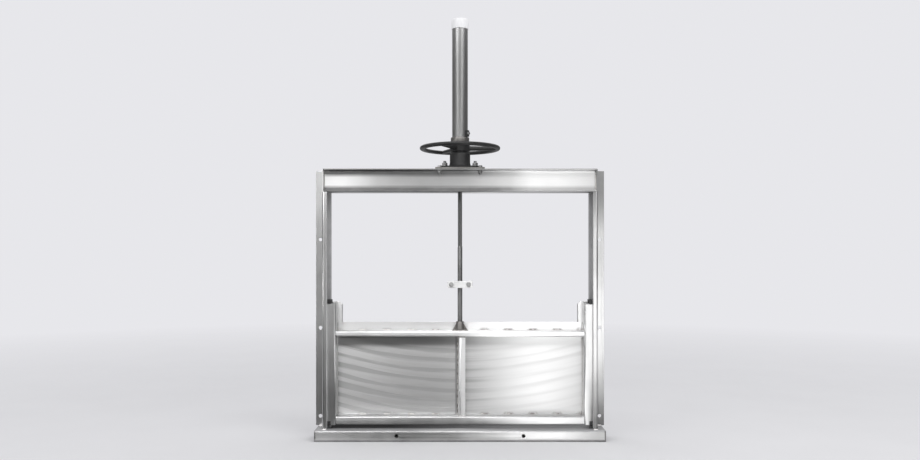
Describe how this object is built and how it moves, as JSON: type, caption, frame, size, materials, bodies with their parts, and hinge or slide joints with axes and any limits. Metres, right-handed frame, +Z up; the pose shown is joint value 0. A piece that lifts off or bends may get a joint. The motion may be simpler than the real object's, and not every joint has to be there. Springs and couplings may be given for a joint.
{
  "type": "sluice gate",
  "caption": "Wall-mounted steel sluice gate: a ribbed leaf slides in side guides, raised by a handwheel on a rising stem under a capped tube.",
  "frame": {"origin": "on the wall face, at the bottom edge of the sill, midway across the gate", "axes": "+X across the gate to the viewer's right, +Y into the wall, +Z up along the stem"},
  "size_m": [1.49, 0.41, 2.138],
  "materials": {
    "stainless": "cold-rolled stainless sheet, lightly brushed",
    "stem_steel": "greased trapezoidal thread",
    "tube_steel": "polished tube",
    "dark_casting": "black painted casting",
    "white_plastic": "moulded polyethylene",
    "black_plastic": "cut polyethylene",
    "black_rubber": "extruded rubber",
    "grey_rubber": "extruded grey rubber",
    "bronze": "turned bronze"
  },
  "bodies": {
    "frame": {"sill": "stainless", "guide_left": "stainless", "guide_right": "stainless", "wall_bar_left": "stainless", "wall_bar_right": "stainless", "front_slide_left": "white_plastic", "front_slide_right": "white_plastic", "rear_seal_left": "grey_rubber", "rear_seal_right": "grey_rubber", "sill_seal": "black_rubber", "yoke_front": "stainless", "yoke_rear": "stainless", "base_plate": "stainless", "pedestal": "dark_casting", "thrust_ring": "dark_casting"},
    "gate": {"gate_plate": "stainless", "side_bar_left": "stainless", "side_bar_right": "stainless", "top_rib": "stainless", "bottom_rib": "stainless", "centre_rib": "stainless", "upper_shoe_left": "black_plastic", "upper_shoe_right": "black_plastic", "lower_shoe_left": "black_plastic", "lower_shoe_right": "black_plastic", "stem_foot": "stainless", "stem": "stem_steel", "stop_clamp_front": "stainless", "stop_clamp_rear": "stainless"},
    "handwheel": {"handwheel": "dark_casting", "stem_nut": "bronze", "hood_collar": "stainless", "hood_lug": "dark_casting", "hood_tube": "tube_steel", "hood_cap": "white_plastic"}
  },
  "joints": [
    {"name": "gate_lift", "type": "slide", "parent": "frame", "child": "gate", "axis": [0, 0, 1], "range_m": [0, 0.45]},
    {"name": "handwheel_turn", "type": "hinge", "parent": "frame", "child": "handwheel", "pos_m": [0, -0.064, 1.479], "axis": [0, 0, 1], "range_deg": [0, 32400]}
  ],
  "couplings": [
    {"joint": "handwheel_turn", "follows": "gate_lift", "rad_per_m": 1256.6}
  ]
}
